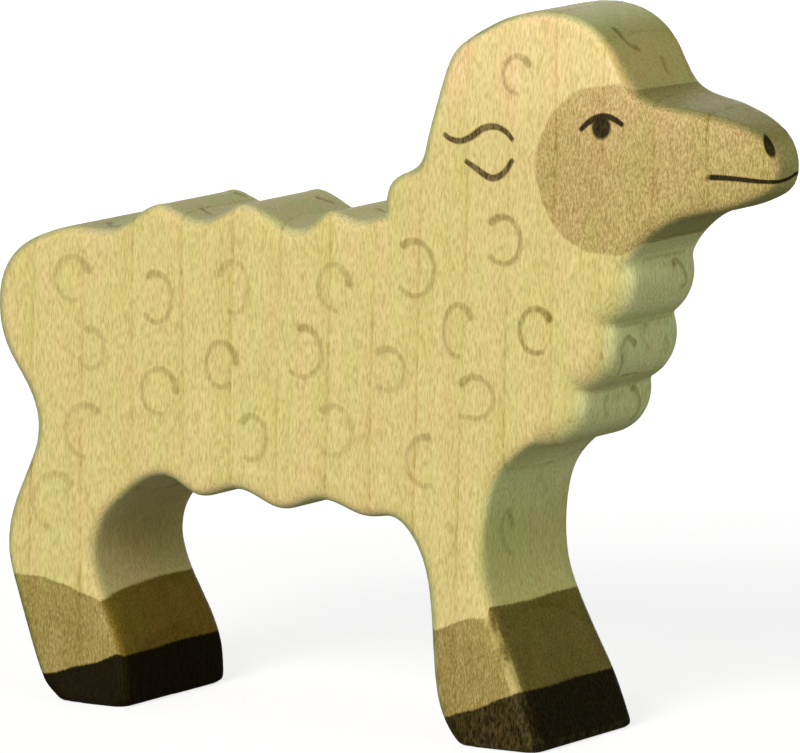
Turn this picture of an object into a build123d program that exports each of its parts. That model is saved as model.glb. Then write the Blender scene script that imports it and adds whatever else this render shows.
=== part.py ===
"""Carved maple lamb: one solid block, with the stain and ink coats that soak into its surface.

The lamb faces +X and stands on Z = 0, with its right flank on -Y and its left flank on +Y.
The block is sawn to a side outline, sanded to a wedge that is widest across the hooves,
narrowed at the muzzle and rounded along every edge. The coats are thin solids let flush
into the block, so that its outer surface stays whole. Lengths are in millimetres.
"""

import os
from math import atan2, cos, radians, sin

from build123d import *

# Block
length = 84.1
height = 70.0
sole_thickness = 18.4
crown_thickness = 13.0
edge_round = 1.3
sole_round = 0.5

# Muzzle, narrowed on both flanks from the cheek forward
muzzle_inset = 4.8
cheek_share = 0.273

# Chest wool, a stack of rolls from the throat down, on a rounded base
roll_radii = (5.0, 5.0, 4.7)
roll_base_radius = 4.0
roll_round = 2.8
roll_shares = ((0.282, 0.643), (0.258, 0.556), (0.227, 0.478))

# Stain and ink
soak_depth = 0.4
curl_width = 0.75
curl_radius = 1.85
curl_sweep = 265.0
ear_width = 0.6
lid_width = 0.45
pupil_radius = 1.05
mouth_width = 0.5
nostril_length = 2.0
nostril_width = 0.95
nostril_tilt = -55.0
face_radius = 8.0

# Room past the block for tools that cut right through it
overrun = 5.0

# Side outlines, as shares of the length and the height, with the wood on the left of each.
# Those of the legs run on below the floor, where the soles are sawn off.
# From the nape along the back and down the hind leg to its heel
back_shares = (
    (0.089, 0.741), (0.018, 0.711), (-0.012, 0.701), (-0.049, 0.709), (-0.090, 0.683), (-0.166, 0.709),
    (-0.225, 0.683), (-0.277, 0.699), (-0.347, 0.662), (-0.390, 0.661), (-0.434, 0.649), (-0.470, 0.627),
    (-0.493, 0.593), (-0.500, 0.549), (-0.487, 0.484), (-0.454, 0.424), (-0.443, 0.380), (-0.454, 0.324),
    (-0.474, 0.264), (-0.480, 0.210), (-0.468, 0.151), (-0.444, 0.071), (-0.432, 0.037), (-0.421, 0.016),
    (-0.407, 0.001), (-0.391, -0.017), (-0.378, -0.041), (-0.370, -0.070),
)
# From the hind toe along the belly to the fore heel
belly_shares = (
    (-0.309, -0.070), (-0.310, 0.021), (-0.314, 0.063), (-0.338, 0.131), (-0.358, 0.186), (-0.361, 0.220),
    (-0.352, 0.254), (-0.326, 0.289), (-0.296, 0.316), (-0.265, 0.325), (-0.222, 0.303), (-0.170, 0.317),
    (-0.108, 0.296), (-0.058, 0.314), (0.008, 0.297), (0.037, 0.300), (0.064, 0.277), (0.084, 0.229),
    (0.092, 0.170), (0.098, 0.093), (0.104, 0.056), (0.115, 0.026), (0.128, 0.006), (0.144, -0.011),
    (0.157, -0.034), (0.165, -0.070),
)
# From the fore toe up to the chest
fore_leg_shares = (
    (0.262, -0.070), (0.241, 0.009), (0.233, 0.037), (0.220, 0.077), (0.203, 0.117), (0.177, 0.180),
    (0.164, 0.223), (0.160, 0.264), (0.164, 0.321), (0.175, 0.361), (0.197, 0.393), (0.225, 0.416),
)
# From the throat round the muzzle and over the crown to the nape
head_shares = (
    (0.329, 0.657), (0.348, 0.687), (0.370, 0.711), (0.396, 0.729), (0.433, 0.741), (0.468, 0.756),
    (0.492, 0.774), (0.500, 0.801), (0.493, 0.831), (0.473, 0.853), (0.441, 0.869), (0.404, 0.879),
    (0.370, 0.886), (0.346, 0.898), (0.331, 0.920), (0.314, 0.954), (0.291, 0.981), (0.263, 0.996),
    (0.226, 1.000), (0.179, 0.989), (0.141, 0.967), (0.110, 0.939), (0.094, 0.899), (0.083, 0.854),
    (0.074, 0.814), (0.062, 0.780), (0.046, 0.769), (0.030, 0.754), (0.022, 0.724), (0.021, 0.691),
)
# Inner end of the neck, buried in the trunk
neck_shares = ((0.089, 0.600), (0.256, 0.600))

# Places of the painted marks in side view
face_shares = (0.315, 0.794)
eye_shares = (0.304, 0.851)
lid_shares = ((0.274, 0.843), (0.289, 0.859), (0.304, 0.866), (0.319, 0.863), (0.332, 0.854))
nostril_shares = (0.477, 0.831)
mouth_shares = (0.420, 0.791)
upper_ear_shares = (
    (0.099, 0.827), (0.118, 0.818), (0.137, 0.824), (0.163, 0.841), (0.183, 0.834), (0.191, 0.824),
)
lower_ear_shares = ((0.127, 0.793), (0.147, 0.780), (0.166, 0.771), (0.180, 0.781), (0.191, 0.801))

# Tops of the stained bands and of the painted hooves, each a line across its leg
rear_band_shares = ((-0.526, 0.185), (-0.271, 0.127))
rear_hoof_shares = ((-0.526, 0.004), (-0.271, 0.089))
fore_band_shares = ((0.053, 0.140), (0.288, 0.200))
fore_hoof_shares = ((0.053, 0.004), (0.288, 0.115))

# Wool curls that open forward, and those that open backward
forward_curl_shares = (
    (0.192, 0.911), (-0.394, 0.589), (-0.041, 0.606), (-0.189, 0.487), (0.123, 0.563), (0.224, 0.570),
    (-0.273, 0.441), (-0.375, 0.379), (0.080, 0.380), (-0.414, 0.277),
)
backward_curl_shares = (
    (-0.280, 0.571), (-0.178, 0.594), (0.068, 0.641), (0.178, 0.689), (-0.367, 0.493), (-0.082, 0.514),
    (0.034, 0.500), (0.143, 0.473), (-0.145, 0.390), (-0.035, 0.410), (0.113, 0.273),
)

# The right flank leans in as it rises; seen along it from above, the second axis points into the block
lean = atan2((sole_thickness - crown_thickness) / 2, height)
flank_foot = (0, -sole_thickness / 2, 0)
right_flank = Plane(flank_foot, x_dir=(1, 0, 0), z_dir=(0, -cos(lean), sin(lean)))
right_plan = Plane(flank_foot, x_dir=(1, 0, 0), z_dir=(0, sin(lean), cos(lean)))


def point(shares):
    """A point of the side view from its shares of the length and the height."""
    return (length * shares[0], height * shares[1])


def points(table):
    return [point(shares) for shares in table]


def outline(table, depth):
    """A side outline, moved square to itself into the wood by depth."""
    curve = Spline(*points(table), mode=Mode.PRIVATE)
    inward = [curve.tangent_at(place).rotate(Axis.Z, 90) for place in points(table)]
    return Spline(*[Vector(place) + way * depth for place, way in zip(points(table), inward)])


def flank_edges(form):
    """The edges of the faces that look to the right or to the left."""
    flanks = form.faces().filter_by(lambda face: abs(face.normal_at().Y) > sin(radians(45)))
    return ShapeList(edge for flank in flanks for edge in flank.edges())


def stock(depth, inset):
    """The space between the flanks, set in by depth and narrowed by inset at the muzzle."""
    with BuildPart() as space:
        with BuildSketch(right_plan):
            with BuildLine():
                flank = Line((-length, depth), (length * cheek_share, depth))
                if inset:
                    taper = TangentArc(flank @ 1, (length / 2, depth + inset), tangent=flank % 1)
                    front = Line(taper @ 1, taper @ 1 + (taper % 1) * overrun)
                else:
                    front = Line(flank @ 1, (length, depth))
                Polyline(front @ 1, ((front @ 1).X, sole_thickness), (-length, sole_thickness), flank @ 0)
            make_face()
        extrude(amount=height * 2, both=True)
        mirror(about=Plane.XZ, mode=Mode.INTERSECT)
    return space.part


def body(depth=0):
    """Trunk and legs, set in by depth. The inner form runs on through the soles, which stay bare."""
    with BuildPart() as trunk:
        with BuildSketch(Plane.XZ):
            with BuildLine():
                back = outline(back_shares, depth)
                belly = outline(belly_shares, depth)
                leg = outline(fore_leg_shares, depth)
                Line(back @ 1, belly @ 0)
                Line(belly @ 1, leg @ 0)
                shoulder = point(roll_shares[0])
                Polyline(leg @ 1, point(roll_shares[-1]), shoulder, ((back @ 0).X, shoulder[1]), back @ 0)
            make_face()
        extrude(amount=sole_thickness, both=True)
        add(stock(depth, 0), mode=Mode.INTERSECT)
        fillet(flank_edges(trunk.part).filter_by(GeomType.LINE, reverse=True), edge_round - depth)
        if not depth:
            split(bisect_by=Plane.XY, keep=Keep.TOP)
            soles = trunk.faces().filter_by(lambda face: face.normal_at().Z < -cos(radians(1)))
            fillet(ShapeList(edge for sole in soles for edge in sole.edges()), sole_round)
    return trunk.part


def head(depth=0):
    """Neck, crown and muzzle, set in by depth."""
    with BuildPart() as skull:
        with BuildSketch(Plane.XZ):
            with BuildLine():
                profile = outline(head_shares, depth)
                Polyline(profile @ 1, *points(neck_shares), profile @ 0)
            make_face()
        extrude(amount=sole_thickness, both=True)
        add(stock(depth, muzzle_inset), mode=Mode.INTERSECT)
        curved = flank_edges(skull.part).filter_by(GeomType.LINE, reverse=True)
        fillet(curved, edge_round - depth)
    return skull.part


def wool(side):
    """Chest wool of one side outline, as thick as the block and well rounded."""
    with BuildPart() as tuft:
        extrude(side, amount=sole_thickness, both=True)
        add(stock(0, 0), mode=Mode.INTERSECT)
        fillet(flank_edges(tuft.part), roll_round)
    return tuft.part


def bed(zone, cores, way=0):
    """The room round the cores in a zone of the side view: way 1 is right, -1 left, 0 both."""
    with BuildPart() as room:
        extrude(zone, amount=sole_thickness * (way or 1), both=not way)
        add(cores, mode=Mode.SUBTRACT)
    return room.part


def coat(form, room):
    """The outer layer of a form that lies in a bed."""
    with BuildPart() as layer:
        add(form)
        add(room, mode=Mode.INTERSECT)
    return layer.part


def band(low, high):
    """The zone of a leg between two lines across it."""
    with BuildSketch(Plane.XZ) as zone:
        with BuildLine():
            Polyline(*low, *reversed(high), close=True)
        make_face()
    return zone.sketch


def below(line):
    """The ends of a line across a leg, dropped under the floor."""
    return [(x, -overrun) for x, _ in line]


# Chest wool
top_roll = Vector(point(roll_shares[0]))
low_roll = Vector(point(roll_shares[-1]))

with BuildSketch(Plane.XZ) as roll_base:
    SlotCenterPoint((top_roll + low_roll) / 2, top_roll, roll_base_radius * 2)

tufts = [wool(roll_base.sketch)]
for center, radius in zip(points(roll_shares), roll_radii):
    with BuildSketch(Plane.XZ) as roll:
        with Locations(center):
            Circle(radius)
    tufts.append(wool(roll.sketch))

# The carved block before any coat, and the inner forms that the coats stop at
trunk = body()
skull = head()
trunk_core = body(soak_depth)
skull_core = [head(soak_depth), *tufts]

with BuildPart() as carved:
    add([trunk, skull, *tufts])

# Zones of the painted face
with BuildSketch(Plane.XZ) as eye_zone:
    with Locations(point(eye_shares)):
        Circle(pupil_radius)
    with BuildLine():
        Spline(*points(lid_shares))
    trace(line_width=lid_width)

with BuildSketch(Plane.XZ) as nostril_zone:
    with Locations(point(nostril_shares)):
        Ellipse(nostril_length / 2, nostril_width / 2, rotation=nostril_tilt)

with BuildSketch(Plane.XZ) as mouth_zone:
    with Locations(point(mouth_shares)):
        SlotOverall(length / 2, mouth_width, align=(Align.MIN, Align.CENTER))

with BuildSketch(Plane.XZ) as face_zone:
    with Locations(point(face_shares)):
        Circle(face_radius)
        Rectangle(length / 2, face_radius * 2, align=(Align.MIN, Align.CENTER))
    for mark in (eye_zone, nostril_zone, mouth_zone):
        add(mark.sketch, mode=Mode.SUBTRACT)

# Marks drawn on the flat of the flanks
with BuildPart() as right_ear_mark:
    with BuildSketch(right_flank):
        for table in (upper_ear_shares, lower_ear_shares):
            with BuildLine():
                Spline(*points(table))
            trace(line_width=ear_width)
    extrude(amount=-soak_depth)

with BuildPart() as left_ear_mark:
    mirror(right_ear_mark.part, about=Plane.XZ)

with BuildPart() as right_wool_curls:
    with BuildSketch(right_flank):
        with BuildLine():
            for table, opening in ((forward_curl_shares, 0), (backward_curl_shares, 180)):
                start = opening + (360 - curl_sweep) / 2
                for center in points(table):
                    CenterArc(center, curl_radius, start, curl_sweep)
        trace(line_width=curl_width)
    extrude(amount=-soak_depth)

with BuildPart() as left_wool_curls:
    mirror(right_wool_curls.part, about=Plane.XZ)

# The bed of every coat that follows the rounded edges, by the name of its node
rear_band, rear_hoof = points(rear_band_shares), points(rear_hoof_shares)
fore_band, fore_hoof = points(fore_band_shares), points(fore_hoof_shares)
head_beds = {
    "face_stain": bed(face_zone.sketch, skull_core),
    "mouth_line": bed(mouth_zone.sketch, skull_core),
    "right_eye": bed(eye_zone.sketch, skull_core, way=1),
    "left_eye": bed(eye_zone.sketch, skull_core, way=-1),
    "right_nostril": bed(nostril_zone.sketch, skull_core, way=1),
    "left_nostril": bed(nostril_zone.sketch, skull_core, way=-1),
}
leg_beds = {
    "rear_leg_stain": bed(band(rear_hoof, rear_band), trunk_core),
    "rear_hoof_paint": bed(band(below(rear_hoof), rear_hoof), trunk_core),
    "fore_leg_stain": bed(band(fore_hoof, fore_band), trunk_core),
    "fore_hoof_paint": bed(band(below(fore_hoof), fore_hoof), trunk_core),
}
flank_marks = {
    "right_ear_mark": right_ear_mark.part,
    "left_ear_mark": left_ear_mark.part,
    "right_wool_curls": right_wool_curls.part,
    "left_wool_curls": left_wool_curls.part,
}

with BuildPart() as maple_block:
    add(carved.part)
    add([*head_beds.values(), *leg_beds.values(), *flank_marks.values()], mode=Mode.SUBTRACT)

pieces = {
    "maple_block": maple_block.part,
    **{name: coat(skull, room) for name, room in head_beds.items()},
    **{name: coat(trunk, room) for name, room in leg_beds.items()},
    **flank_marks,
}

os.makedirs("parts", exist_ok=True)
for name, piece in pieces.items():
    piece.label = name
    export_step(piece, f"parts/{name}.step")
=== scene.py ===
"""Looks of the carved maple lamb.

One fine skin is drawn over the solids and parted into bare wood and coats of stain, and ink strokes are
laid on it. Every surface shares one maple, worked out from its place in the block. Places and sizes are in
millimetres, apart from the stage's, in the frame of the solids: +X to the muzzle, the right flank on -Y,
+Z up.
"""

from collections import namedtuple
from math import pi, radians

import bmesh
import bpy
import numpy as np
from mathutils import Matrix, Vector
from mathutils.bvhtree import BVHTree


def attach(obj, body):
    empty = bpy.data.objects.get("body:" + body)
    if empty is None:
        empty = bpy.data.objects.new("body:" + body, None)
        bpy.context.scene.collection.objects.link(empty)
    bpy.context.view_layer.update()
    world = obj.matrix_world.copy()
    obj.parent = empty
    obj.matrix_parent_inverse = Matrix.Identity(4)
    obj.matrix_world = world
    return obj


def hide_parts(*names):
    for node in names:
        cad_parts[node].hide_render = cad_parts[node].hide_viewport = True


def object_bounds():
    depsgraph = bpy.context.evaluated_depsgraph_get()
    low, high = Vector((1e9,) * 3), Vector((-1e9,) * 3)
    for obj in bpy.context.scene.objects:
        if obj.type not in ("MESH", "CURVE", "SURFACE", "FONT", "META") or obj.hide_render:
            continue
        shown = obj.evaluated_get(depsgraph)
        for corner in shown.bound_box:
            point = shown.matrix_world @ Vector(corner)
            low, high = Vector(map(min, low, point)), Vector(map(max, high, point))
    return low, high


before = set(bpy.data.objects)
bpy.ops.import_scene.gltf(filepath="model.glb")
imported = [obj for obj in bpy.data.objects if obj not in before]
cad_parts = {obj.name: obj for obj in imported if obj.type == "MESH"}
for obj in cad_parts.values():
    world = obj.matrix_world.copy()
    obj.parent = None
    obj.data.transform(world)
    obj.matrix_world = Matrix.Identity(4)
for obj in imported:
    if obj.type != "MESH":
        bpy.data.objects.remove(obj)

MM = 0.001
scene = bpy.context.scene
cad_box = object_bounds()

# Skin: the gap between its points, how far off a face the search for open air starts, the share of the way
# to its neighbours that a point goes in a round of smoothing, and the rounds that tell an edge
voxel = 0.35
probe = 0.05
smoothing = 0.5
neighbours = 4
edge_rounds = 12

# Shares and rounds of smoothing before each time that the skin is drawn onto the solids, and after the last
fitting = ((0.5, 6), (0.5, 3), (0.4, 2))
last_rounds = 3

# How deep stain soaks in, how far ink and the eyelid's ink stand out of the wood, and how deep ink is rooted
coat_depth = 0.4
ink_lift = 0.025
lid_lift = 0.045
ink_root = 0.06

# Edges that the carver sanded rounder, on the jaw and the fore leg: middle and reach in the side view, and
# rounds of sanding. It fades over the last of the reach, away from the flanks' edges and near the sole
Sanding = namedtuple("Sanding", "x z reach rounds")
sandings = (
    Sanding(34.0, 50.5, 8.0, 28),
    Sanding(17.0, 9.0, 12.0, 4),
)
sanded_reach = (0.6, 1.0)
sanded_strip = (1.5, 4.5)
sanded_rise = 1.5

# Edges that were left crisp: above a height, on the chest above the leg and on the rear leg, but not at the
# soles or the tip of the muzzle. What an edge would sink past crisp_sink under smoothing, up to as much
# again, is pushed out crisp_share times
crisp_height = (40.0, 46.0)
crisp_rear_leg = (-24.0, 24.0)
crisp_chest = (14.0, 18.0)
crisp_leg_top = (22.0, 27.0)
round_sole = (0.5, 2.5)
round_tip = (33.0, 37.0)
crisp_sink = 0.07
crisp_share = 3.0

# Face stain: a round edge behind the eye that runs on forward over the muzzle, lower on the brow, where it
# also tilts down to the left, and higher on the throat
face_centre = (26.7, 55.65)
face_radius = 8.0
brow_drop = 0.6
brow_tilt = 1.3
throat_rise = 2.0

# Upper edges of the stained bands and of the painted hooves: three points of each on the flank, and how
# much higher the edge runs on the front of the leg, at its corners and in its middle
LegLine = namedtuple("LegLine", "flank corner_rise middle_rise")
leg_lines = {
    ("rear", "band"): LegLine(((-38.5, 12.05), (-33.0, 11.45), (-29.4, 10.25)), -0.1, 0.8),
    ("rear", "hoof"): LegLine(((-35.35, 2.67), (-30.9, 3.9), (-27.2, 5.25)), -0.35, -0.15),
    ("fore", "band"): LegLine(((8.8, 10.9), (11.9, 12.0), (14.5, 12.5)), 1.0, 0.8),
    ("fore", "hoof"): LegLine(((10.4, 2.67), (14.4, 4.25), (17.9, 5.7)), 0.1, 0.1),
}
half_thickness = 9.2
bare_sole = 0.35

# Where a surface counts as a front, by how much it faces forward, and the waver of painted edges: the size
# of each wave and its radians per millimetre along the three axes
front_turn = (0.45, 0.85)
wavers = ((0.07, 0.9, 0.0, 1.3), (0.05, -1.7, 0.6, 2.3))

# Freehand wool curls on the flank: each an arc of an ellipse, from the loaded end of the brush to the dry
# one, in degrees from straight ahead over the top, with a straight tail and how dark it is
Curl = namedtuple("Curl", "x z half_width half_height start end tail strength")
curls = (
    Curl(16.5, 63.95, 1.5, 1.75, 25, 270, 0.3, 0.80),
    Curl(-33.0, 41.25, 2.0, 2.1, 15, 280, 0.5, 0.50),
    Curl(-23.35, 40.05, 1.75, 2.35, 130, -130, 0.4, 0.60),
    Curl(-14.6, 41.7, 1.7, 2.45, 160, -100, 0.4, 0.45),
    Curl(-30.75, 34.6, 1.5, 1.9, 120, -150, 0.2, 0.45),
    Curl(-22.85, 31.1, 2.0, 2.15, -5, 270, 0.8, 0.55),
    Curl(-15.8, 34.2, 1.7, 2.15, 0, 300, 0.4, 0.65),
    Curl(-31.25, 26.6, 2.3, 2.5, 45, 265, 0.2, 0.45),
    Curl(-3.3, 42.6, 1.7, 2.1, 0, 255, 1.0, 0.55),
    Curl(5.65, 44.95, 2.2, 2.6, 134, -130, 0.4, 0.70),
    Curl(-6.6, 36.1, 2.1, 2.35, 112, -110, 1.0, 0.60),
    Curl(2.9, 35.15, 1.9, 1.95, 138, -125, 0.3, 0.55),
    Curl(-12.2, 27.45, 1.6, 2.1, 145, -110, 0.4, 0.55),
    Curl(-3.0, 28.85, 2.0, 2.35, 138, -125, 0.3, 0.45),
    Curl(15.35, 48.3, 1.9, 2.2, 142, -130, 0.4, 0.85),
    Curl(10.65, 39.45, 1.6, 2.45, 25, 275, 0.3, 0.65),
    Curl(19.15, 40.05, 1.75, 2.1, 25, 290, 0.4, 1.00),
    Curl(12.65, 33.25, 2.0, 1.95, 150, -95, 1.9, 0.65),
    Curl(7.3, 26.75, 2.1, 2.3, 75, 290, 0.3, 0.55),
    Curl(-34.65, 19.5, 2.5, 2.65, 35, 260, 0.2, 0.35),
    Curl(8.85, 19.4, 1.8, 2.0, 62, -85, 0.2, 0.30),
)

# Curls and touches on the forehead, the chest and the fore leg, by their places across and up, and how dark
# each is
front_marks = (
    (((-3.0, 68.6), (-2.9, 67.2), (-1.4, 66.4)), 1.0),
    (((1.6, 65.6), (1.2, 63.9)), 0.7),
    (((1.3, 45.9), (2.3, 46.2), (3.4, 45.2), (3.9, 44.0), (3.0, 43.5)), 0.8),
    (((-1.9, 38.6), (-3.5, 39.5), (-4.6, 38.5), (-4.0, 37.2), (-3.7, 35.8)), 0.8),
    (((0.3, 40.7), (-0.8, 39.4), (0.5, 37.8)), 0.4),
    (((3.4, 38.9), (4.2, 37.8), (4.2, 36.9)), 0.4),
    (((1.9, 33.8), (2.7, 33.7), (3.8, 32.4), (4.2, 31.2), (3.7, 30.4)), 0.8),
    (((-2.1, 33.6), (-2.8, 32.8), (-1.5, 31.3)), 0.4),
    (((-2.5, 20.3), (-3.8, 22.1), (-4.6, 20.3), (-3.4, 18.2), (-2.2, 17.7)), 0.5),
    (((0.7, 24.9), (3.1, 23.1)), 0.3),
)

# Touches on the back and the crown, by their places along and across, and how dark each is
top_marks = (
    (((-21.2, -3.2), (-19.6, -3.6)), 0.9),
    (((-22.8, 5.1), (-21.4, 5.5)), 0.9),
    (((-31.8, -2.9), (-30.2, -5.2), (-28.0, -6.8)), 0.9),
    (((-12.4, 3.5), (-10.9, 4.8)), 0.9),
    (((-2.6, -1.0), (-0.2, -1.8)), 0.8),
    (((11.4, -5.8), (13.2, -6.0), (15.2, -5.9)), 0.6),
)

# Ear and eye on the flank
upper_ear = ((8.5, 58.0), (9.3, 57.5), (10.4, 57.35), (11.6, 57.8), (12.8, 58.65), (14.1, 58.95),
             (15.3, 58.6), (16.3, 57.7))
lower_ear = ((10.9, 55.6), (12.2, 54.9), (13.5, 54.2), (14.4, 54.15), (15.4, 54.8), (16.3, 56.1))
eyelid = ((23.4, 59.1), (24.5, 60.1), (25.85, 60.65), (27.0, 60.45), (28.05, 59.85))
pupil = (25.7, 59.6)
pupil_size = (1.0, 1.13)

# Mouth and nostrils, by the way round the muzzle from straight ahead, and the height
muzzle_middle = 38.5
muzzle_radius = 3.5
mouth = ((-7.2, 55.4), (-6.5, 55.4), (-5.1, 55.28), (-3.4, 55.12), (-1.9, 55.06), (-0.5, 55.1),
         (0.4, 55.22), (1.4, 55.5), (3.4, 55.2), (5.1, 55.25), (7.2, 55.4))
nostrils = {"right": (-2.47, 58.35), "left": (3.3, 58.35)}
nostril_size = (0.52, 1.05)
nostril_lean = 14.0

# Brushes: width, how much wider a stroke is where it starts and over what share of it, how much wider in
# its middle, and how soft its edges are
Brush = namedtuple("Brush", "width loaded run belly soft")
wool_brush = Brush(0.50, 0.65, 0.22, 0.0, 0.45)
ear_brush = Brush(0.46, 0.0, 1.0, 0.45, 0.20)
lid_brush = Brush(0.44, 0.0, 1.0, 0.40, 0.15)
mouth_brush = Brush(0.56, 0.0, 1.0, -0.35, 0.20)

# Ink films: the strength of a loaded brush's stroke and how much more it has where it starts, a stroke's
# columns of points and how far they reach past its soft edge, a dab's rows and columns and its softness,
# and the steps along a path and a curl
film_share = 0.75
film_load = 0.35
stroke_columns = 11
stroke_margin = 1.02
dab_lines = 17
dab_soft = 0.12
path_step = 0.2
curl_steps = 48

# Where rays onto the flanks, the front and the top start, clear of the lamb, and the least gap that counts
# when the normals round a place are weighed
side_start = 60.0
front_start = 90.0
top_start = 120.0
least_gap = 0.01

# Camera, fitted to the outline of the photographed lamb: places, lens and sensor, and how near it sees
camera_eye = (519.41, -836.08, 178.17)
camera_target = (-3.107, 4.022, 32.56)
camera_lens = 469.59
camera_sensor = 36
camera_near = 10.0


def smooth_step(low, high, values):
    """0 below low, 1 above high and a smooth way between them."""
    share = np.clip((values - low) / (high - low), 0, 1)
    return share * share * (3 - 2 * share)


# Skin of the lamb

def triangles_of(mesh):
    """Points and triangles of a mesh."""
    mesh.calc_loop_triangles()
    points = np.empty(len(mesh.vertices) * 3)
    mesh.vertices.foreach_get("co", points)
    corners = np.empty(len(mesh.loop_triangles) * 3, int)
    mesh.loop_triangles.foreach_get("vertices", corners)
    return points.reshape(-1, 3), corners.reshape(-1, 3)


def outer_shell(nodes):
    """The triangles of the solids that face open air. From any other one, a ray outward starts inside
    a solid and meets a wall of it from within."""
    points, corners, count = [], [], 0
    for node in nodes:
        node_points, node_corners = triangles_of(node.data)
        points.append(node_points / MM)
        corners.append(node_corners + count)
        count += len(node_points)
    points, corners = np.concatenate(points), np.concatenate(corners)
    tree = BVHTree.FromPolygons(points.tolist(), corners.tolist())
    first, second, third = (points[corners[:, k]] for k in range(3))
    normals = np.cross(second - first, third - first)
    sizes = np.linalg.norm(normals, axis=1)
    middles = (first + second + third) / 3
    kept = []
    for number in np.flatnonzero(sizes):
        way = Vector(normals[number] / sizes[number])
        wall = tree.ray_cast(Vector(middles[number]) + way * probe, way)[1]
        if wall is None or wall.dot(way) < 0:
            kept.append(number)
    return points, corners[kept]


class Skin:
    """Points of a closed quad mesh, with the sums over neighbours that smoothing needs."""

    def __init__(self, points, corners):
        mesh = bpy.data.meshes.new("shell")
        mesh.from_pydata((points * MM).tolist(), [], corners.tolist())
        shell = bpy.data.objects.new("shell", mesh)
        scene.collection.objects.link(shell)
        remesh = shell.modifiers.new("voxels", "REMESH")
        remesh.mode = "VOXEL"
        remesh.voxel_size = voxel * MM
        graph = bpy.context.evaluated_depsgraph_get()
        self.mesh = bpy.data.meshes.new_from_object(shell.evaluated_get(graph))
        bpy.data.objects.remove(shell)
        count = len(self.mesh.vertices)
        self.points = np.empty(count * 3)
        self.mesh.vertices.foreach_get("co", self.points)
        self.points = self.points.reshape(-1, 3) / MM
        edges = np.empty(len(self.mesh.edges) * 2, int)
        self.mesh.edges.foreach_get("vertices", edges)
        self.edges = edges.reshape(-1, 2)
        self.degree = np.bincount(edges, minlength=count)

    def around(self, values):
        """The mean of each point's neighbours."""
        a, b = self.edges.T
        count = len(self.degree)
        total = [np.bincount(a, column[b], count) + np.bincount(b, column[a], count) for column in values.T]
        return np.stack(total, axis=1) / self.degree[:, None]

    def smooth(self, share, rounds):
        """Each point goes a share of the way to the mean of its neighbours."""
        for _ in range(rounds):
            self.points += (self.around(self.points) - self.points) * share

    def draw_onto(self, tree):
        """Every point moves to the nearest place on the shell."""
        self.points = np.array([tree.find_nearest(point)[0] for point in self.points.tolist()])

    def shape_mesh(self):
        """The mesh takes the places of the points."""
        self.mesh.vertices.foreach_set("co", (self.points * MM).ravel())
        self.mesh.update()

    def normals(self):
        """The normal at each point, from the mesh in its present shape."""
        self.shape_mesh()
        found = np.empty(self.points.size)
        self.mesh.vertex_normals.foreach_get("vector", found)
        return found.reshape(-1, 3)

    def sink(self):
        """How far each point would sink under rounds of smoothing, or rise if less than zero."""
        kept = self.points.copy()
        normals = self.normals()
        self.smooth(smoothing, edge_rounds)
        sunk = np.sum((kept - self.points) * normals, axis=1)
        self.points = kept
        self.shape_mesh()
        return sunk

    def sharpness(self):
        """How sharply the skin bends outward at each point: the sum of its two curvatures, per millimetre."""
        return neighbours / smoothing * self.sink() / (edge_rounds * voxel ** 2)


def sand_edges(skin):
    """Rounds the corners of the jaw and of the front of the fore leg."""
    sole = cad_box[0][2] / MM
    for spot in sandings:
        x, y, z = skin.points.T
        near = 1 - smooth_step(*sanded_reach, np.hypot(x - spot.x, z - spot.z) / spot.reach)
        rows = np.round(z / voxel).astype(int).clip(0)
        half_widths = np.zeros(rows.max() + 1)
        np.maximum.at(half_widths, rows, np.abs(y))
        strip = 1 - smooth_step(*sanded_strip, half_widths[rows] - np.abs(y))
        share = smoothing * near * strip * smooth_step(sole, sole + sanded_rise, z)
        skin.smooth(share[:, None], spot.rounds)


def crisp_edges(skin):
    """Draws the rounded edges of the crown, the back, the chest and the rear leg out to a smaller radius."""
    x, _, z = skin.points.T
    near = np.maximum(smooth_step(*crisp_height, z), (x < crisp_rear_leg[0]) & (z < crisp_rear_leg[1]))
    near = np.maximum(near, smooth_step(*crisp_chest, x) * smooth_step(*crisp_leg_top, z))
    near *= smooth_step(*round_sole, z) * (1 - smooth_step(*round_tip, x))
    push = crisp_share * np.clip(skin.sink() - crisp_sink, 0, crisp_sink) * near
    skin.points += skin.normals() * push[:, None]


def carve_skin():
    """A fine skin on the solids, with its edges left crisp or sanded."""
    points, corners = outer_shell(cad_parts.values())
    shell = BVHTree.FromPolygons(points.tolist(), corners.tolist())
    skin = Skin(points, corners)
    for share, rounds in fitting:
        skin.smooth(share, rounds)
        skin.draw_onto(shell)
    skin.smooth(smoothing, last_rounds)
    crisp_edges(skin)
    sand_edges(skin)
    skin.points[:, 2] = np.maximum(skin.points[:, 2], 0)
    return skin


# Zones of the coats

def line_height(line, x, y, front):
    """Height of a painted edge: a parabola through its points on the flank, level past its ends, that rises
    on the front of the leg."""
    places = np.clip(x, line.flank[0][0], line.flank[-1][0])
    middle = 1 - (np.minimum(y, 0) / half_thickness) ** 2
    rise = line.corner_rise + (line.middle_rise - line.corner_rise) * middle
    return np.polyval(np.polyfit(*zip(*line.flank), 2), places) + rise * front


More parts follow.
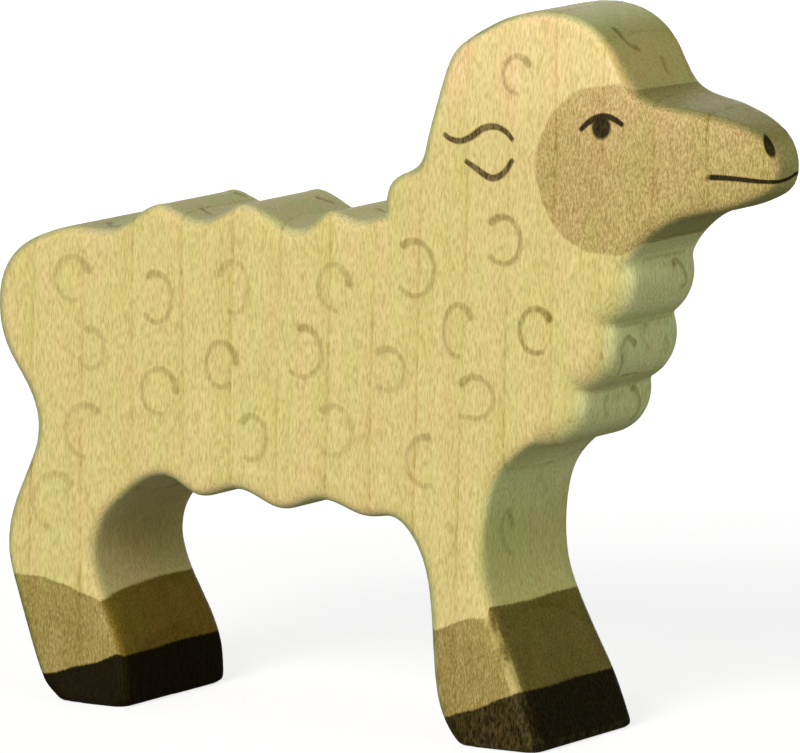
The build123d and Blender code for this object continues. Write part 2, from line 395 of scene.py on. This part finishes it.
def zone_fields(points, normals):
    """How far each point lies inside the face stain, the leg bands and the hoof paint, or outside if less
    than zero. A leg's band reaches on under the paint of its hoof."""
    x, y, z = points.T
    waver = sum(size * np.sin(along * x + across * y + up * z) for size, along, across, up in wavers)
    front = smooth_step(*front_turn, normals[:, 0])
    behind = np.minimum(x - face_centre[0], 0)
    above = z - face_centre[1]
    brow = brow_drop + brow_tilt * smooth_step(-half_thickness, half_thickness, y)
    face = face_radius - np.hypot(behind, above) - front * np.where(above > 0, brow, throat_rise)
    fields = {"face": face + waver}
    for coat in ("band", "hoof"):
        rear, fore = (line_height(leg_lines[leg, coat], x, y, front) for leg in ("rear", "fore"))
        fields[coat] = np.where(x < 0, rear, fore) - z + waver
    return fields


def cut_along(bm, layer):
    """Splits edges and faces where the values of a vertex layer pass zero."""
    nearly = 0.05 * voxel
    for vert in bm.verts:
        if abs(vert[layer]) < nearly:
            vert[layer] = 0.0
    crossing = [edge for edge in bm.edges if edge.verts[0][layer] * edge.verts[1][layer] < 0]
    for edge in crossing:
        start, end = edge.verts
        share = start[layer] / (start[layer] - end[layer])
        vert = bmesh.utils.edge_split(edge, start, share)[1]
        vert[layer] = 0.0
    faces = {face for vert in bm.verts if vert[layer] == 0.0 for face in vert.link_faces}
    for face in faces:
        on_line = [vert for vert in face.verts if vert[layer] == 0.0]
        if len(on_line) == 2 and not bm.edges.get(on_line):
            bmesh.utils.face_split(face, *on_line)


Parted = namedtuple("Parted", "points normals fields faces zones")
carried = ("edge", "face", "band", "hoof")


def part_skin(skin):
    """The skin cut along the edges of its coats, with the zone of each face and the fields it carries."""
    fields = {"edge": skin.sharpness()}
    fields |= zone_fields(skin.points, skin.normals())
    fields["sole"] = skin.points[:, 2] - bare_sole
    bm = bmesh.new()
    bm.from_mesh(skin.mesh)
    layers = {name: bm.verts.layers.float.new(name) for name in fields}
    for name, layer in layers.items():
        for vert, value in zip(bm.verts, fields[name].tolist()):
            vert[layer] = value
    for name in ("face", "band", "hoof", "sole"):
        cut_along(bm, layers[name])
    bm.verts.index_update()
    bm.normal_update()

    def inside(face, name):
        return sum(vert[layers[name]] for vert in face.verts) > 0

    zones = []
    for face in bm.faces:
        leg = "rear" if face.verts[0].co.x < 0 else "fore"
        if inside(face, "face"):
            zones.append("face")
        elif inside(face, "hoof") and inside(face, "sole"):
            zones.append(leg + "_hoof")
        elif inside(face, "band") and inside(face, "sole"):
            zones.append(leg + "_band")
        else:
            zones.append("wood")
    parted = Parted(
        np.array([vert.co for vert in bm.verts]) / MM,
        np.array([vert.normal for vert in bm.verts]),
        {name: np.array([vert[layers[name]] for vert in bm.verts]) for name in carried},
        [[vert.index for vert in face.verts] for face in bm.faces],
        zones,
    )
    bm.free()
    return parted


# Pieces

def add_piece(name, points, faces, normals, attributes, material, replaced=()):
    """A mesh piece in the frame of the solids that rides with the lamb."""
    mesh = bpy.data.meshes.new(name)
    mesh.from_pydata((points * MM).tolist(), [], faces)
    for key, values in attributes.items():
        layer = mesh.attributes.new(key, "FLOAT", "POINT")
        layer.data.foreach_set("value", values.astype(np.float32))
    mesh.shade_smooth()
    mesh.normals_split_custom_set_from_vertices(normals.tolist())
    mesh.materials.append(material)
    piece = bpy.data.objects.new(name, mesh)
    scene.collection.objects.link(piece)
    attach(piece, "root")
    if replaced:
        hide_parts(*replaced)


def open_edges(faces):
    """The edges of some faces that no other of them shares, each in the order of its own face."""
    seen = {(a, b) for face in faces for a, b in zip(face, face[1:] + face[:1])}
    return sorted((a, b) for a, b in seen if (b, a) not in seen)


def solid_piece(name, parted, zone, material, replaced):
    """The closed solid of one zone: a coat is as thick as it soaks in, and the wood has beds under them."""
    count = len(parted.points)
    own = [face for face, place in zip(parted.faces, parted.zones) if place == zone]
    walls = [[b, a, a + count, b + count] for a, b in open_edges(own)]
    if zone == "wood":
        others = [face for face, place in zip(parted.faces, parted.zones) if place != zone]
        bed = [[v + count for v in face] for face in others]
    else:
        bed = [[v + count for v in reversed(face)] for face in own]
    made = own + bed + walls
    used = sorted({v for face in made for v in face})
    renamed = {v: n for n, v in enumerate(used)}
    beds = parted.points - parted.normals * coat_depth
    bed_normals = parted.normals if zone == "wood" else -parted.normals
    points = np.concatenate([parted.points, beds])[used]
    normals = np.concatenate([parted.normals, bed_normals])[used]
    attributes = {key: np.concatenate([values, values])[used] for key, values in parted.fields.items()}
    made = [[renamed[v] for v in face] for face in made]
    add_piece(name, points, made, normals, attributes, material, replaced)


# Ink

def flank(side):
    """Rays onto one flank from points of the side view: side -1 is right, 1 is left."""
    return lambda a, b: (Vector((a, side * side_start, b)), Vector((0, -side, 0)))


def from_front(a, b):
    """Rays onto the forehead, the chest and the leg from points of the front view."""
    return Vector((front_start, a, b)), Vector((-1, 0, 0))


def from_above(a, b):
    """Rays onto the back and the crown from points of the plan."""
    return Vector((a, b, top_start)), Vector((0, 0, -1))


def round_muzzle(a, b):
    """Rays from inside the muzzle, by the way round it and the height."""
    angle = a / muzzle_radius
    return Vector((muzzle_middle, 0, b)), Vector((np.cos(angle), np.sin(angle), 0))


def smooth_path(points):
    """Points about a step apart on a smooth curve through given ones."""
    points = np.array(points, float)
    before = np.concatenate([[2 * points[0] - points[1]], points, [2 * points[-1] - points[-2]]])
    path = []
    for p0, p1, p2, p3 in zip(before, before[1:], before[2:], before[3:]):
        count = max(2, int(np.linalg.norm(p2 - p1) / path_step))
        for t in np.arange(count) / count:
            path.append(0.5 * (2 * p1 + (p2 - p0) * t + (2 * p0 - 5 * p1 + 4 * p2 - p3) * t ** 2
                               + (3 * p1 - p0 - 3 * p2 + p3) * t ** 3))
    return np.array(path + [points[-1]])


def curl_path(curl):
    """Points of one wool curl: its arc, then its tail straight on."""
    angles = np.radians(np.linspace(curl.start, curl.end, curl_steps))
    across = curl.x + curl.half_width * np.cos(angles)
    up = curl.z + curl.half_height * np.sin(angles)
    arc = np.stack([across, up], axis=1)
    way = arc[-1] - arc[-2]
    way /= np.linalg.norm(way)
    tail = [arc[-1] + way * gap for gap in np.arange(path_step, curl.tail + path_step / 2, path_step)]
    return np.concatenate([arc, tail])


class Touch:
    """A leaning oval of ink on a chart."""

    def __init__(self, centre, size, lean=0.0):
        self.centre = np.array(centre)
        self.size = np.array(size)
        turn = radians(lean)
        self.axes = np.array([[np.cos(turn), np.sin(turn)], [-np.sin(turn), np.cos(turn)]])

    def spot(self, across, up):
        """Places on the chart from shares of the oval's two half sizes."""
        return self.centre + (np.stack([across, up], axis=-1) * self.size) @ self.axes

    def amount(self, spots):
        """Ink at places on the chart, from 1 inside to 0 outside."""
        reach = np.linalg.norm((spots - self.centre) @ self.axes.T / self.size, axis=-1)
        return 1 - smooth_step(1 - dab_soft, 1 + dab_soft, reach)


class Ink:
    """Strokes and dabs that are gathered into one piece, drawn onto the skin through rays."""

    def __init__(self, tree, normal_at):
        self.tree = tree
        self.normal_at = normal_at
        self.points, self.normals, self.faces, self.amounts = [], [], [], []

    def grid(self, rays, amounts, lift):
        """A closed film on the skin from rows of rays, with the amount of ink at each."""
        rows, columns = len(rays), len(rays[0])
        start = len(self.points)
        places = []
        for row in rays:
            for origin, way in row:
                place = self.tree.ray_cast(origin, way)[0]
                places.append(place if place else self.tree.find_nearest(origin + way * origin.length)[0])
        normals = [self.normal_at(place) for place in places]
        count = rows * columns
        self.points += [place + normal * lift for place, normal in zip(places, normals)]
        self.points += [place - normal * ink_root for place, normal in zip(places, normals)]
        self.normals += normals + normals
        self.amounts += list(np.ravel(amounts)) * 2
        faces = []
        for r in range(rows - 1):
            for c in range(columns - 1):
                corner = r * columns + c
                quad = [corner, corner + 1, corner + columns + 1, corner + columns]
                faces.append(quad)
                faces.append([v + count for v in reversed(quad)])
        last = count - columns
        ring = [*range(columns), *range(2 * columns - 1, count, columns)]
        ring += [*range(count - 2, last - 1, -1), *range(last - columns, 0, -columns)]
        for a, b in zip(ring, ring[1:] + ring[:1]):
            faces.append([b, a, a + count, b + count])
        if self.turned(places, normals, columns):
            faces = [face[::-1] for face in faces]
        self.faces += [[v + start for v in face] for face in faces]

    @staticmethod
    def turned(places, normals, columns):
        """Whether the quads of a grid of places turn against its normals."""
        a, b, c = places[0], places[1], places[columns]
        return (b - a).cross(c - a).dot(normals[0]) < 0

    def stroke(self, chart, path, brush, strength=1.0, lift=ink_lift, under=None):
        """One stroke of the brush, rounded at its ends, with most ink where it starts. Where it crosses
        a dab, the ink of that dab shows through its edges."""
        steps = np.linalg.norm(np.diff(path, axis=0), axis=1)
        along = np.concatenate([[0], np.cumsum(steps)])
        share = along / along[-1]
        ways = np.gradient(path, axis=0)
        ways /= np.linalg.norm(ways, axis=1)[:, None]
        across = np.stack([-ways[:, 1], ways[:, 0]], axis=1)
        load = np.exp(-(share / brush.run) ** 2) * (brush.loaded > 0)
        widths = brush.width * (1 + brush.loaded * load + brush.belly * np.sin(pi * share))
        film = strength * (film_share + film_load * load) if brush.loaded else np.full(len(path), strength)
        places = np.linspace(-1, 1, stroke_columns) * (1 + brush.soft) * stroke_margin
        ends = np.minimum(along, along[-1] - along) / (widths / 2)
        reach = np.hypot(places, np.clip(1 - ends, 0, None)[:, None])
        amounts = film[:, None] * (1 - smooth_step(1 - brush.soft, 1 + brush.soft, reach))
        spots = path[:, None] + across[:, None] * (places[None, :] * widths[:, None] / 2)[:, :, None]
        if under:
            amounts = np.maximum(amounts, under.amount(spots))
        self.grid([[chart(*spot) for spot in row] for row in spots], amounts, lift)

    def dab(self, chart, touch):
        """One round touch of the brush, as a square grid drawn out to a disc."""
        across, up = np.meshgrid(np.linspace(-1, 1, dab_lines), np.linspace(-1, 1, dab_lines))
        reach = np.maximum(abs(across), abs(up)) * (1 + dab_soft)
        angle = np.arctan2(up, across)
        spots = touch.spot(np.cos(angle) * reach, np.sin(angle) * reach)
        self.grid([[chart(*spot) for spot in row] for row in spots], touch.amount(spots), ink_lift)

    def piece(self, name, material, slot, replaced=()):
        points = np.array(self.points)
        normals = np.array(self.normals)
        attributes = zone_fields(points, normals) | {"ink": np.array(self.amounts)}
        add_piece(name, points, self.faces, normals, attributes, material, replaced)


# Materials

# Noise: the gaps between its cells along the three axes, what counts as its valleys and its hills, and how
# much finer detail it has and how strong that is
Noise = namedtuple("Noise", "gaps low high detail rough", defaults=(0.0, 1.0, 2.0, 0.5))


def opaque(colour):
    """A colour as sockets take it."""
    return (*colour, 1)


class Nodes:
    """Builds a material's node tree: inputs are values or sockets."""

    def __init__(self, name):
        self.material = bpy.data.materials.new(name)
        self.material.use_nodes = True
        self.tree = self.material.node_tree
        self.shader = self.tree.nodes["Principled BSDF"]
        coordinates = self.add("ShaderNodeTexCoord").outputs
        self.place = self.vector("SCALE", coordinates["Object"], 1 / MM)
        self.facing = coordinates["Normal"]

    def add(self, kind, inputs=(), **settings):
        node = self.tree.nodes.new(kind)
        for key, value in settings.items():
            setattr(node, key, value)
        for key, value in dict(inputs).items():
            self.feed(node.inputs[key], value)
        return node

    def feed(self, socket, value):
        if isinstance(value, bpy.types.NodeSocket):
            self.tree.links.new(value, socket)
        else:
            socket.default_value = value

    def math(self, operation, *values, clamp=False):
        node = self.add("ShaderNodeMath", enumerate(values), operation=operation, use_clamp=clamp)
        return node.outputs[0]

    def times(self, *values):
        """The product of two or more values."""
        product = values[0]
        for value in values[1:]:
            product = self.math("MULTIPLY", product, value)
        return product

    def vector(self, operation, *values):
        inputs = dict(enumerate(values))
        if operation == "SCALE":
            inputs = {0: values[0], "Scale": values[1]}
        return self.add("ShaderNodeVectorMath", inputs, operation=operation).outputs[0]

    def split(self, vector):
        return self.add("ShaderNodeSeparateXYZ", {0: vector}).outputs

    def noise(self, grain):
        """Plain noise, which varies about 0.5."""
        stretched = self.vector("DIVIDE", self.place, grain.gaps)
        inputs = {"Vector": stretched, "Scale": 1.0, "Detail": grain.detail, "Roughness": grain.rough}
        return self.add("ShaderNodeTexNoise", inputs).outputs[0]

    def spots(self, grain, start=0.0, end=1.0):
        """Noise that goes from start, in its valleys, to end, on its hills."""
        return self.ramp(self.noise(grain), grain.low, grain.high, start, end)

    def sway(self, grain, size):
        """Noise about zero, of some size."""
        return self.times(self.math("SUBTRACT", self.noise(grain), 0.5), size)

    def ramp(self, value, low, high, start=0.0, end=1.0):
        """A smooth way from start, at low, to end, at high."""
        inputs = {0: value, 1: low, 2: high, 3: start, 4: end}
        return self.add("ShaderNodeMapRange", inputs, interpolation_type="SMOOTHSTEP").outputs[0]

    def blend(self, share, first, second, way="MIX"):
        node = self.add("ShaderNodeMix", {0: share, 6: first, 7: second}, data_type="RGBA", blend_type=way)
        return node.outputs[2]

    def tint(self, colour, share, tint):
        """The colour times a tint, where share is 1."""
        return self.blend(share, colour, opaque(tint), "MULTIPLY")

    def attribute(self, name):
        return self.add("ShaderNodeAttribute", attribute_name=name).outputs["Fac"]


# Growth rings: their gap, the place of one line, how far the lines bow towards the muzzle in mid-flank, how
# they curve across the board and how far they drift
ring_gap = 5.32
ring_line = -32.4
ring_bow = 1.2
flank_length = 47.9
ring_curve = 0.012
ring_drift = 2.0

# Noise of the wood. Ring lines fade to the faintest share where they break
drift_noise = Noise((10.0, 10.0, 40.0), detail=1.0)
break_noise = Noise((3.0, 3.0, 9.0), 0.35, 0.65)
dash_noise = Noise((0.6, 0.6, 1.6), 0.54, 0.64)
streak_noise = Noise((0.8, 0.8, 40.0), detail=3.0, rough=0.6)
hue_noise = Noise((2.6, 2.6, 12.0), 0.36, 0.64)
cluster_noise = Noise((1.1, 1.1, 3.0), 0.32, 0.68)
fleck_noise = Noise((0.16, 0.17, 0.75), detail=1.0)
faintest_line = 0.1

# The two hues of bare maple, and what tints them: each sets in between two values of a measure, such as
# the place between rings, the height or how much a surface faces forward
hues = ((0.700, 0.598, 0.220), (0.740, 0.580, 0.240))
Tint = namedtuple("Tint", "low high colour")
late_wood = Tint(0.45, 1.0, (0.975, 0.965, 0.92))
ring_edge = Tint(0.90, 0.97, (0.90, 0.885, 0.80))
ring_dash = Tint(0.94, 0.97, (0.80, 0.73, 0.60))
streaks = Tint(0.35, 0.75, (0.97, 0.96, 0.935))
cluster_tint = (0.97, 0.965, 0.95)
dark_flecks = Tint(0.46, 0.76, (0.80, 0.77, 0.68))
pale_flecks = Tint(0.54, 0.24, (1.13, 1.14, 1.20))
# Painted light: the flanks of the head lighter and bluer towards the crown, but not on end grain
crown_light_tint = Tint(55.0, 66.0, (1.20, 1.13, 1.32))
# Painted light: the chest lighter and bluer where it faces forward
chest_light_tint = Tint(0.6, 0.92, (1.22, 1.32, 1.60))
# Painted shade: the brow darker where it faces forward
brow_shade_tint = Tint(0.3, 0.8, (0.76, 0.72, 0.56))
# Painted shade: the rim of the rump, where it turns away, darker and greener
rump_rim_shade = Tint(-0.05, -0.40, (0.66, 0.79, 0.82))
end_wood = Tint(0.35, 0.9, (0.87, 0.99, 1.15))
# Painted highlight: sharp outward edges a little paler
edge_highlight = Tint(0.34, 0.55, (1.05, 1.01, 1.04))
# Painted shade: concave creases darker
crease_shade = Tint(-0.35, -0.80, (0.68, 0.68, 0.62))

# Heights between which the chest's painted light sets in and fades out and the brow's painted shade sets in,
# and how much the rim of the rump still faces a flank where its painted shade lies
chest_rise = (19.0, 27.0)
chest_fall = (54.0, 48.0)
brow_rise = (57.0, 61.0)
rim_turn = (0.3, 0.7)

# Relief of the wood: the share of streaks in its height, and the strength and depth of the bump
streak_relief = 0.4
bump_strength = 0.3
bump_depth = 0.03


def maple(nodes):
    """Colour, end grain and relief of maple with upright fibres: growth rings, streaks and ray flecks, with
    tints where the cut differs, and painted light and shade: a lighter crown and chest, a darker brow, rump
    rim and creases, and a painted highlight on sharp edges."""
    x, y, z = nodes.split(nodes.place)
    facing_x, facing_y, facing_z = nodes.split(nodes.facing)
    edge = nodes.attribute("edge")
    from_line = nodes.math("SUBTRACT", x, ring_line)
    bow = nodes.times(nodes.math("SINE", nodes.times(from_line, pi / flank_length)), -ring_bow)
    curve = nodes.times(y, y, -ring_curve)
    drift = nodes.sway(drift_noise, ring_drift)
    ring_place = nodes.math("ADD", nodes.math("ADD", from_line, bow), nodes.math("ADD", curve, drift))
    ring = nodes.math("FRACT", nodes.math("DIVIDE", ring_place, ring_gap))
    broken = nodes.spots(break_noise, faintest_line)
    streak = nodes.noise(streak_noise)
    fleck = nodes.noise(fleck_noise)

    def sets_in(value, tint):
        return nodes.ramp(value, tint.low, tint.high)

    dark_fleck = sets_in(fleck, dark_flecks)
    end_grain = sets_in(nodes.math("ABSOLUTE", facing_z), end_wood)
    # Masks of the painted light on the crown and the chest, and of the painted shade on the rim of the rump
    crown = nodes.times(sets_in(z, crown_light_tint), nodes.ramp(end_grain, 1.0, 0.0))
    chest = nodes.times(sets_in(facing_x, chest_light_tint), nodes.ramp(z, *chest_rise), nodes.ramp(z, *chest_fall))
    rim_share = nodes.ramp(nodes.math("ABSOLUTE", facing_y), *rim_turn)
    colour = nodes.blend(nodes.spots(hue_noise), *map(opaque, hues))
    for share, tint in (
        (sets_in(ring, late_wood), late_wood.colour),
        (nodes.times(sets_in(ring, ring_edge), broken), ring_edge.colour),
        (nodes.times(sets_in(ring, ring_dash), nodes.spots(dash_noise), broken), ring_dash.colour),
        (sets_in(streak, streaks), streaks.colour),
        (nodes.spots(cluster_noise), cluster_tint),
        (dark_fleck, dark_flecks.colour),
        (sets_in(fleck, pale_flecks), pale_flecks.colour),
        # Painted light on the crown and the chest, painted shade on the brow and the rim of the rump
        (crown, crown_light_tint.colour),
        (chest, chest_light_tint.colour),
        (nodes.times(sets_in(facing_x, brow_shade_tint), nodes.ramp(z, *brow_rise)), brow_shade_tint.colour),
        (nodes.times(sets_in(facing_x, rump_rim_shade), rim_share), rump_rim_shade.colour),
        (end_grain, end_wood.colour),
        # Painted highlight on sharp edges and painted shade in creases
        (sets_in(edge, edge_highlight), edge_highlight.colour),
        (sets_in(edge, crease_shade), crease_shade.colour),
    ):
        colour = nodes.tint(colour, share, tint)
    height = nodes.math("SUBTRACT", nodes.times(streak, streak_relief), dark_fleck)
    return colour, end_grain, height


# Stain: how much a surface faces forward to count as a front, the noise of its grain, its frayed edges and
# its patches, how far the edges fray and how soft they are
stain_front = (0.35, 0.8)
grain_noise = Noise((0.13, 0.13, 0.36), 0.30, 0.70, 1.0)
fray_noise = Noise((0.35, 0.35, 1.0))
patch_noise = Noise((2.2, 2.2, 5.0), 0.32, 0.68, 3.0)
fray_reach = 0.28
soft_edge = 0.14

# Tints of the face stain: all over, in its grain and on end grain
face_tint = (0.88, 0.82, 0.78)
face_grain = (0.64, 0.61, 0.52)
face_end = (0.82, 0.82, 0.70)

# Tints of the leg bands: all over, in the grain, in patches, and painted shade on the fronts of the rear and
# fore legs, which changes between them in the arch, and how thin the fore band is worn along its corners
band_tint = (0.66, 0.63, 0.535)
band_grain = (0.66, 0.63, 0.53)
band_patch = (0.88, 0.85, 0.80)
band_front_shades = ((0.60, 0.52, 0.20), (0.51, 0.48, 0.35))
arch = (-5.0, 5.0)
worn_corner = (0.33, 0.46)
worn_noise = Noise((1.0, 1.0, 2.5), 0.30, 0.62)
worn_share = 0.45

# Hoof paint, whole and where it is scuffed, and how scuffed the rear and the fore hoof are, each on the
# flank and then on the front
hoof_paints = ((0.036, 0.034, 0.026), (0.21, 0.195, 0.16))
scuff_noise = Noise((0.20, 0.20, 0.6), 0.32, 0.68, 3.0, 0.6)
rear_scuffs = (0.0, 0.35)
fore_scuffs = (1.0, 0.65)
scuff_turn = (0.1, 0.9)
scuff_arch = (0.0, 1.0)


def stained(nodes, colour, end_grain, coats):
    """The colour under coats of stain, whose soft edges follow the fields that each piece carries, with
    painted shade on the fronts of the legs' bands. The fore leg's band is worn thin along its corners."""
    x = nodes.split(nodes.place)[0]
    front = nodes.ramp(nodes.split(nodes.facing)[0], *stain_front)
    grain = nodes.spots(grain_noise)
    frayed = nodes.sway(fray_noise, fray_reach)
    for coat in coats:
        share = nodes.ramp(nodes.math("ADD", nodes.attribute(coat), frayed), -soft_edge, soft_edge)
        if coat == "face":
            colour = nodes.tint(colour, share, face_tint)
            colour = nodes.tint(colour, nodes.times(share, grain), face_grain)
            colour = nodes.tint(colour, nodes.times(share, end_grain), face_end)
        elif coat == "band":
            fore = nodes.ramp(x, *arch)
            rubbed = nodes.times(nodes.ramp(nodes.attribute("edge"), *worn_corner), nodes.spots(worn_noise))
            worn = nodes.times(share, nodes.ramp(nodes.times(rubbed, fore), 0.0, 1.0, 1.0, worn_share))
            colour = nodes.tint(colour, worn, band_tint)
            colour = nodes.tint(colour, nodes.times(worn, grain), band_grain)
            colour = nodes.tint(colour, nodes.times(worn, nodes.spots(patch_noise)), band_patch)
            # Painted shade on the fronts of the legs, darker where a band faces forward
            darker = nodes.blend(fore, *map(opaque, band_front_shades))
            colour = nodes.blend(nodes.times(worn, front), colour, darker, "MULTIPLY")
        else:
            rear_scuff = nodes.ramp(front, *scuff_turn, *rear_scuffs)
            fore_scuff = nodes.ramp(front, *scuff_turn, *fore_scuffs)
            amount = nodes.ramp(x, *scuff_arch, rear_scuff, fore_scuff)
            scuffed = nodes.times(nodes.spots(scuff_noise), amount)
            paint = nodes.blend(scuffed, *map(opaque, hoof_paints))
            colour = nodes.blend(share, colour, paint, "MULTIPLY")
    return colour


# Inks: the tint of a full film, and how far it thins out where the brush was dry
Dye = namedtuple("Dye", "tint dryness")
curl_dye = Dye((0.43, 0.37, 0.24), 0.40)
ear_dye = Dye((0.12, 0.09, 0.05), 0.22)
face_dye = Dye((0.055, 0.05, 0.05), 0.05)
dry_noise = Noise((0.22, 0.22, 0.8), 0.35, 0.60, 2.0, 0.6)

# Sheen: roughness and how far it varies, and the gloss of oiled wood, leg stain and dark paint
roughness = 0.62
roughness_sway = 0.07
rough_noise = Noise((0.6, 0.6, 3.0), 0.3, 0.7)
oiled_gloss = 0.2
stain_gloss = 0.08
paint_gloss = 0.05


def wood_material(name, coats=(), dye=None, gloss=oiled_gloss):
    """Maple under coats of stain, with ink of one dye where the piece carries it."""
    nodes = Nodes(name)
    colour, end_grain, height = maple(nodes)
    colour = stained(nodes, colour, end_grain, coats)
    if dye:
        dry = nodes.spots(dry_noise, 1 - dye.dryness)
        colour = nodes.tint(colour, nodes.math("MULTIPLY", nodes.attribute("ink"), dry, clamp=True), dye.tint)
    inputs = nodes.shader.inputs
    nodes.feed(inputs["Base Color"], colour)
    relief = {"Strength": bump_strength, "Distance": bump_depth * MM, "Height": height}
    nodes.feed(inputs["Normal"], nodes.add("ShaderNodeBump", relief).outputs[0])
    rough = nodes.spots(rough_noise, roughness - roughness_sway, roughness + roughness_sway)
    nodes.feed(inputs["Roughness"], rough)
    inputs["Specular IOR Level"].default_value = gloss
    return nodes.material


# The lamb

skin = carve_skin()
parted = part_skin(skin)
skin_tree = BVHTree.FromPolygons(skin.points.tolist(), [list(face.vertices) for face in skin.mesh.polygons])
corner_normals = [Vector(normal) for normal in skin.normals()]


def skin_normal(place):
    """The skin's normal, evened over the corners of the face nearest to a place."""
    face = skin.mesh.polygons[skin_tree.find_nearest(place)[2]]
    total = Vector((0, 0, 0))
    for v in face.vertices:
        gap = (place - Vector(skin.points[v])).length + least_gap
        total += corner_normals[v] / gap
    return total.normalized()


maple_wood = wood_material("maple", ("face", "band", "hoof"))
solid_piece("lamb_wood", parted, "wood", maple_wood, ["maple_block"])
face_wood = wood_material("face_stain", ("face",))
solid_piece("lamb_face", parted, "face", face_wood, ["face_stain"])
band_wood = wood_material("leg_stain", ("band", "hoof"), gloss=stain_gloss)
hoof_wood = wood_material("hoof_paint", ("band", "hoof"), gloss=paint_gloss)
for leg in ("rear", "fore"):
    solid_piece(f"lamb_{leg}_leg", parted, f"{leg}_band", band_wood, [f"{leg}_leg_stain"])
    solid_piece(f"lamb_{leg}_hoof", parted, f"{leg}_hoof", hoof_wood, [f"{leg}_hoof_paint"])

curl_ink = wood_material("curl_ink", (), curl_dye)
ear_ink = wood_material("ear_ink", (), ear_dye)
face_ink = wood_material("face_ink", ("face",), face_dye, paint_gloss)

for side, name in ((-1, "right"), (1, "left")):
    chart = flank(side)
    wool = Ink(skin_tree, skin_normal)
    for curl in curls:
        wool.stroke(chart, curl_path(curl), wool_brush, curl.strength)
    wool.piece(f"{name}_curls", curl_ink, "brown_ink", [f"{name}_wool_curls"])

    ear = Ink(skin_tree, skin_normal)
    for line in (upper_ear, lower_ear):
        ear.stroke(chart, smooth_path(line), ear_brush)
    ear.piece(f"{name}_ear", ear_ink, "brown_ink", [f"{name}_ear_mark"])

    eye = Ink(skin_tree, skin_normal)
    iris = Touch(pupil, pupil_size)
    eye.dab(chart, iris)
    eye.stroke(chart, smooth_path(eyelid), lid_brush, lift=lid_lift, under=iris)
    eye.piece(f"{name}_eye_ink", face_ink, "dark_ink", [f"{name}_eye"])

    nose = Ink(skin_tree, skin_normal)
    nose.dab(round_muzzle, Touch(nostrils[name], nostril_size, -side * nostril_lean))
    nose.piece(f"{name}_nostril_ink", face_ink, "dark_ink", [f"{name}_nostril"])

lips = Ink(skin_tree, skin_normal)
lips.stroke(round_muzzle, smooth_path(mouth), mouth_brush)
lips.piece("mouth_ink", face_ink, "dark_ink", ["mouth_line"])

for name, chart, marks in (("front_curls", from_front, front_marks), ("back_curls", from_above, top_marks)):
    touches = Ink(skin_tree, skin_normal)
    for line, strength in marks:
        touches.stroke(chart, smooth_path(line), wool_brush, strength)
    touches.piece(name, curl_ink, "brown_ink")

# Stage, in metres but for the glow's reach: a floor and a sky that the camera sees as white, the floor
# a little darker under the lamb, and three soft lamps

white = (1, 1, 1, 1)
lamb_middle = (0.0, 0.0, 0.035)
sky = (0.11, 0.13, 0.14)
floor_reach = 3.0
floor_tone = (0.34, 0.33, 0.31)
floor_roughness = 0.9
glow_reach = (60.0, 300.0)
glow_under_lamb = 0.80

floor_mesh = bpy.data.meshes.new("floor")
floor_corners = [(-floor_reach, -floor_reach, 0), (floor_reach, -floor_reach, 0),
                 (floor_reach, floor_reach, 0), (-floor_reach, floor_reach, 0)]
floor_mesh.from_pydata(floor_corners, [], [(0, 1, 2, 3)])
floor = bpy.data.objects.new("floor", floor_mesh)
scene.collection.objects.link(floor)
floor_nodes = Nodes("pale_floor")
floor_inputs = floor_nodes.shader.inputs
floor_inputs["Base Color"].default_value = opaque(floor_tone)
floor_inputs["Roughness"].default_value = floor_roughness
floor_inputs["Specular IOR Level"].default_value = 0.0
floor_inputs["Emission Color"].default_value = white
seen = floor_nodes.add("ShaderNodeLightPath").outputs["Is Camera Ray"]
away = floor_nodes.add("ShaderNodeVectorMath", {0: floor_nodes.place}, operation="LENGTH").outputs["Value"]
glow = floor_nodes.ramp(away, *glow_reach, glow_under_lamb)
floor_nodes.feed(floor_inputs["Emission Strength"], floor_nodes.times(seen, glow))
floor_mesh.materials.append(floor_nodes.material)

world = bpy.data.worlds.new("studio")
scene.world = world
world.use_nodes = True
sky_tree = world.node_tree
sky_seen = sky_tree.nodes.new("ShaderNodeLightPath").outputs["Is Camera Ray"]
sky_mix = sky_tree.nodes.new("ShaderNodeMix")
sky_mix.data_type = "RGBA"
sky_mix.inputs[6].default_value = opaque(sky)
sky_mix.inputs[7].default_value = white
sky_tree.links.new(sky_seen, sky_mix.inputs[0])
sky_tree.links.new(sky_mix.outputs[2], sky_tree.nodes["Background"].inputs["Color"])

Lamp = namedtuple("Lamp", "name place size power colour")
lamps = (
    Lamp("key", (0.04, -0.88, 0.46), 0.5, 9.0, (1.0, 0.985, 0.985)),
    Lamp("front", (1.0, -0.04, 0.18), 0.35, 2.0, (0.72, 1.0, 0.85)),
    Lamp("back", (-0.30, 0.93, 0.10), 0.5, 5.5, (1.0, 1.0, 1.0)),
)
for lamp in lamps:
    softbox = bpy.data.lights.new(lamp.name, "AREA")
    softbox.shape = "DISK"
    softbox.size = lamp.size
    softbox.energy = lamp.power
    softbox.color = lamp.colour
    light = bpy.data.objects.new(lamp.name, softbox)
    light.location = lamp.place
    light.rotation_euler = (Vector(lamb_middle) - light.location).to_track_quat("-Z", "Y").to_euler()
    scene.collection.objects.link(light)

camera = bpy.data.objects.new("camera", bpy.data.cameras.new("camera"))
camera.location = Vector(camera_eye) * MM
camera.rotation_euler = (Vector(camera_target) - Vector(camera_eye)).to_track_quat("-Z", "Y").to_euler()
camera.data.lens = camera_lens
camera.data.sensor_width = camera_sensor
camera.data.clip_start = camera_near * MM
scene.collection.objects.link(camera)
scene.camera = camera
scene.view_settings.view_transform = "Standard"
